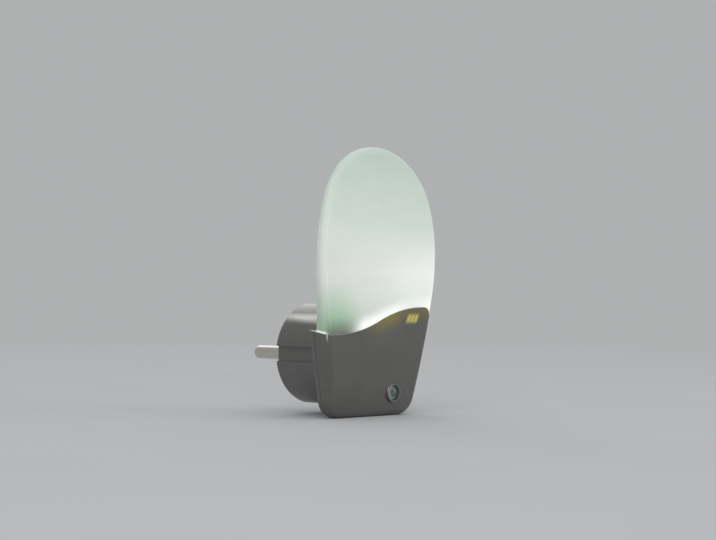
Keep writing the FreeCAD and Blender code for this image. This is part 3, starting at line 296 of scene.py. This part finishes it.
def clear_window():
    """Clear domed plastic with a painted highlight: a lighter, less clear crescent on one side of its edge."""
    s = new_material("clear_window")
    x, _, z = s.split()
    across = s.math("SUBTRACT", x, SENSOR_DISC.x)
    up = s.math("SUBTRACT", z, SENSOR_DISC.z)
    far = s.math("SQRT", s.math("ADD", s.math("MULTIPLY", across, across), s.math("MULTIPLY", up, up)))
    at_edge = s.remap(far, 2.0 * MM, 2.5 * MM, 0, 1, smooth=True)
    # painted highlight: a lighter, more opaque crescent on the left of the window's edge
    edge_highlight = s.math("MULTIPLY", at_edge, s.remap(across, -0.2 * MM, -1.8 * MM, 0, 1, smooth=True))
    colour = s.mix(edge_highlight, (0.10, 0.13, 0.115), (0.30, 0.40, 0.34))
    ripple = s.bump(s.noise(900, 2), 0.05, SKIN_DEPTH)
    rough = s.remap(s.noise(700, 3), 0.3, 0.7, 0.05, 0.1)
    cover = s.remap(edge_highlight, 0, 1, 0.22, 0.85)
    return s.finish(Base_Color=colour, Roughness=rough, Alpha=cover, IOR=1.49, Normal=ripple)


def moulded(name, light, dark, rough, scale, grain=0.12, **more):
    """Plastic, coating or paint with a faint cloud in its colour and a fine surface."""
    s = new_material(name)
    colour = s.cloudy(scale, 4, dark, light)
    surface = s.bump(s.noise(scale * 9, 3, 0.6), grain, SKIN_DEPTH)
    finish = s.remap(s.noise(scale * 0.6, 3), 0.3, 0.7, rough * 0.85, rough * 1.15)
    return s.finish(Base_Color=colour, Roughness=finish, Normal=surface, **more)


def metal(name, light, dark, rough, stretch=(1, 60, 60), scratch=0.15):
    """Bare or plated metal with fine marks in its surface and a slightly uneven polish."""
    s = new_material(name)
    marks = s.noise(350, 3, 0.6, stretch)
    colour = s.mix(s.remap(marks, 0.3, 0.7, 0, 1), dark, light)
    polish = s.remap(s.noise(220, 4), 0.35, 0.7, rough * 0.8, rough * 1.35)
    surface = s.bump(marks, scratch, MARK_DEPTH)
    return s.finish(Base_Color=colour, Metallic=1.0, Roughness=polish, Normal=surface)


def circuit_board(name, mask, dark, track):
    """Solder mask with faint raised tracks in a stepped pattern."""
    s = new_material(name)
    upright = s.add("Mapping", {"Vector": s.place(), "Rotation": (math.pi / 2, 0, 0)}).outputs[0]
    pattern = {"Vector": upright, "Scale": 260.0, "Mortar Size": 0.045, "Brick Width": 0.9, "Row Height": 0.45}
    tracks = s.add("TexBrick", pattern).outputs["Fac"]
    colour = s.mix(s.math("MULTIPLY", tracks, 0.55), s.cloudy(400, 3, dark, mask), track)
    return s.finish(Base_Color=colour, Roughness=0.32, Normal=s.bump(tracks, 0.3, PEEL_DEPTH), Coat_Weight=0.3)


MATERIALS = {
    "housing": housing_lacquer(),
    "diffuser": lit_diffuser(),
    "bezel": moulded("ring_lacquer", (0.19, 0.195, 0.19), (0.16, 0.165, 0.16), 0.24, 500.0, 0.06, Metallic=0.6,
                     Coat_Weight=0.4),
    "window": clear_window(),
    "photoresistor": moulded("sensor_ceramic", (0.15, 0.20, 0.17), (0.12, 0.165, 0.14), 0.4, 900.0),
    "board": circuit_board("green_board", (0.02, 0.11, 0.03), (0.014, 0.08, 0.022), (0.05, 0.2, 0.06)),
    "light_board": circuit_board("white_board", (0.7, 0.72, 0.7), (0.62, 0.64, 0.62), (0.8, 0.81, 0.79)),
    "led": moulded("yellow_phosphor", (0.85, 0.68, 0.12), (0.75, 0.56, 0.08), 0.35, 2500.0,
                   Emission_Color=(1.0, 0.93, 0.7), Emission_Strength=0.6),
    "wire_red": moulded("red_insulation", (0.33, 0.02, 0.015), (0.26, 0.015, 0.01), 0.42, 700.0),
    "wire_brown": moulded("brown_insulation", (0.09, 0.035, 0.016), (0.065, 0.025, 0.012), 0.42, 700.0),
    "wire_blue": moulded("blue_insulation", (0.02, 0.06, 0.3), (0.015, 0.045, 0.22), 0.42, 700.0),
    "pin": metal("nickel_plate", (0.66, 0.63, 0.58), (0.56, 0.53, 0.48), 0.22),
    "steel": metal("zinc_plate", (0.55, 0.56, 0.58), (0.44, 0.45, 0.47), 0.3, (20, 20, 20)),
    "film_capacitor": moulded("yellow_box", (0.52, 0.33, 0.03), (0.44, 0.27, 0.025), 0.38, 500.0),
    "smoothing_capacitor": moulded("dark_sleeve", (0.02, 0.03, 0.07), (0.012, 0.02, 0.05), 0.3, 600.0,
                                   Coat_Weight=0.3),
    "black_part": moulded("black_moulding", (0.03, 0.03, 0.031), (0.018, 0.018, 0.019), 0.5, 1200.0, 0.3),
    "varistor": moulded("blue_dip", (0.02, 0.1, 0.28), (0.015, 0.07, 0.2), 0.28, 500.0, 0.2, Coat_Weight=0.4),
    "fusible_resistor": moulded("green_coating", (0.06, 0.2, 0.13), (0.04, 0.15, 0.09), 0.45, 900.0),
    "resistor": moulded("tan_coating", (0.5, 0.36, 0.18), (0.42, 0.29, 0.14), 0.42, 900.0),
    "diode": moulded("diode_glass", (0.42, 0.13, 0.04), (0.3, 0.08, 0.02), 0.12, 900.0, 0.05, Coat_Weight=0.5),
    "solder": metal("bright_solder", (0.72, 0.72, 0.73), (0.55, 0.55, 0.57), 0.28, (8, 8, 8), 0.4),
}
TRACK = moulded("sensor_film", (0.72, 0.78, 0.70), (0.6, 0.66, 0.58), 0.35, 1500.0)


def sensor_track():
    """The light-sensitive track that zigzags over the sensor disc, raised a little."""
    width, lift = 0.55 * MM, 0.05 * MM
    turns = ((-1.1 * MM, 1.95 * MM), (1.95 * MM, 0.65 * MM), (-1.65 * MM, -1.3 * MM), (0.9 * MM, -2.0 * MM))
    path = bpy.data.curves.new("sensor_track_path", "CURVE")
    path.dimensions = "3D"
    line = path.splines.new("POLY")
    line.points.add(len(turns) - 1)
    for point, (across, up) in zip(line.points, turns):
        point.co = (across, 0, up, 1)
    path.bevel_depth = width / 2
    path.bevel_resolution = 3
    bent = bpy.data.objects.new("sensor_track_path", path)
    shape = bpy.data.meshes.new_from_object(bent)
    bpy.data.objects.remove(bent)
    flatten = Matrix.Diagonal((1, lift / width * 2, 1, 1))
    shape.transform(Matrix.Translation(SENSOR_DISC) @ flatten)
    for face in shape.polygons:
        face.use_smooth = True
    shape.materials.append(TRACK)
    track = bpy.data.objects.new("sensor_track", shape)
    bpy.context.scene.collection.objects.link(track)
    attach(track, "root")


def smooth_shading(piece, angle=24):
    """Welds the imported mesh's split corners and shades it smooth up to that angle; no vertex moves."""
    for face in piece.data.polygons:
        face.use_smooth = True
    weld = piece.modifiers.new("weld", "WELD")
    weld.merge_threshold = 0.002 * MM
    crease = piece.modifiers.new("crease", "EDGE_SPLIT")
    crease.split_angle = math.radians(angle)
    crease.use_edge_sharp = False
    normals = piece.modifiers.new("normals", "WEIGHTED_NORMAL")
    normals.weight = 60


for row in frame["record"]["subparts"]:
    node = frame["nodes"][row["node"]]
    node.data.materials.clear()
    node.data.materials.append(MATERIALS[row["material_slot"]])
    smooth_shading(node)

sensor_track()


# Camera, fitted to the lamp's outline in the photograph
TURN, RISE, ROLL = math.radians(44.95), math.radians(1.48), math.radians(0.37)
AIM = Vector((0, -8.67 * MM, 0))
DISTANCE, ASIDE, RAISED = 542.06 * MM, 10.80 * MM, 30.05 * MM
FOCAL, FILM_WIDTH = 75.49, 36
NEAREST, FARTHEST = 0.01, 100
look = Vector((math.sin(TURN) * math.cos(RISE), math.cos(TURN) * math.cos(RISE), math.sin(RISE)))
level = Vector((math.cos(TURN), -math.sin(TURN), 0))
upright = level.cross(look)
right = math.cos(ROLL) * level + math.sin(ROLL) * upright
up = math.cos(ROLL) * upright - math.sin(ROLL) * level
camera = bpy.data.objects.new("camera", bpy.data.cameras.new("camera"))
bpy.context.scene.collection.objects.link(camera)
turned = Matrix((right, up, -look)).transposed().to_4x4()
camera.matrix_world = Matrix.Translation(AIM - DISTANCE * look + ASIDE * right + RAISED * up) @ turned
camera.data.sensor_width = FILM_WIDTH
camera.data.lens = FOCAL
camera.data.clip_start, camera.data.clip_end = NEAREST, FARTHEST
bpy.context.scene.camera = camera


# Stage: a pale floor that fades into a plain backdrop, and soft studio light
BACKDROP = (0.43, 0.435, 0.44)
SKY, SKY_STRENGTH = (0.96, 0.98, 1.0), 0.5
FLOOR_HALF = 12.0
FLOOR_GAP = 0.05 * MM
FADE_START, FADE_END = 0.15, 1.3
LAMPS_AIM = Vector((0, -18 * MM, 26 * MM))


def stage_floor():
    """Pale paint that the camera and gloss see fade into the backdrop; clear from below."""
    s = new_material("floor_paint")
    x, y, _ = s.split()
    far = s.math("SQRT", s.math("ADD", s.math("MULTIPLY", x, x), s.math("MULTIPLY", y, y)))
    fade = s.remap(far, FADE_START, FADE_END, 0, 1, smooth=True)
    rays = s.add("LightPath").outputs
    fade = s.math("MULTIPLY", fade, s.math("MAXIMUM", rays["Is Camera Ray"], rays["Is Glossy Ray"]))
    colour = s.cloudy(14, 4, (0.475, 0.48, 0.485), (0.49, 0.495, 0.50))
    paint = s.add("BsdfDiffuse", {"Color": colour}).outputs[0]
    plain = s.add("Emission", {"Color": (*BACKDROP, 1), "Strength": 1.0}).outputs[0]
    clear = s.add("BsdfTransparent").outputs[0]
    shown = s.add("MixShader", {0: fade, 1: paint, 2: plain}).outputs[0]
    below = s.add("NewGeometry").outputs["Backfacing"]
    s.add("OutputMaterial", {"Surface": s.add("MixShader", {0: below, 1: shown, 2: clear}).outputs[0]})
    return s.owner


def studio_world():
    """Soft light from all round; the camera, gloss and clear plastic see the plain backdrop instead."""
    s = Shader(bpy.data.worlds.new("studio"))
    rays = s.add("LightPath").outputs
    light = s.add("Background", {"Color": (*SKY, 1), "Strength": SKY_STRENGTH}).outputs[0]
    plain = s.add("Background", {"Color": (*BACKDROP, 1), "Strength": 1.0}).outputs[0]
    seen = s.math("MAXIMUM", rays["Is Camera Ray"], rays["Is Glossy Ray"])
    seen = s.math("MAXIMUM", seen, rays["Is Transmission Ray"])
    s.add("OutputWorld", {"Surface": s.add("MixShader", {0: seen, 1: light, 2: plain}).outputs[0]})
    return s.owner


def softbox(name, place, size, power):
    lamp = bpy.data.lights.new(name, "AREA")
    lamp.shape = "RECTANGLE"
    lamp.size, lamp.size_y = size
    lamp.energy = power
    box = bpy.data.objects.new(name, lamp)
    box.location = place
    box.rotation_euler = (LAMPS_AIM - Vector(place)).to_track_quat("-Z", "Y").to_euler()
    bpy.context.scene.collection.objects.link(box)


corners = [(-FLOOR_HALF, -FLOOR_HALF, 0), (FLOOR_HALF, -FLOOR_HALF, 0), (FLOOR_HALF, FLOOR_HALF, 0),
           (-FLOOR_HALF, FLOOR_HALF, 0)]
floor_mesh = bpy.data.meshes.new("floor")
floor_mesh.from_pydata(corners, [], [(0, 1, 2, 3)])
floor_mesh.materials.append(stage_floor())
floor = bpy.data.objects.new("floor", floor_mesh)
floor.location.z = SOLE - FLOOR_GAP
bpy.context.scene.collection.objects.link(floor)

bpy.context.scene.world = studio_world()

softbox("key", (-1.15, -0.85, 0.95), (1.5, 1.1), 11.0)
softbox("fill", (0.75, -1.25, 0.45), (1.0, 1.2), 4.5)
softbox("back", (0.9, 1.1, 0.8), (1.6, 1.2), 6.0)
softbox("top", (0.0, 0.1, 1.4), (1.8, 1.8), 5.0)

bpy.context.scene.view_settings.view_transform = "Standard"
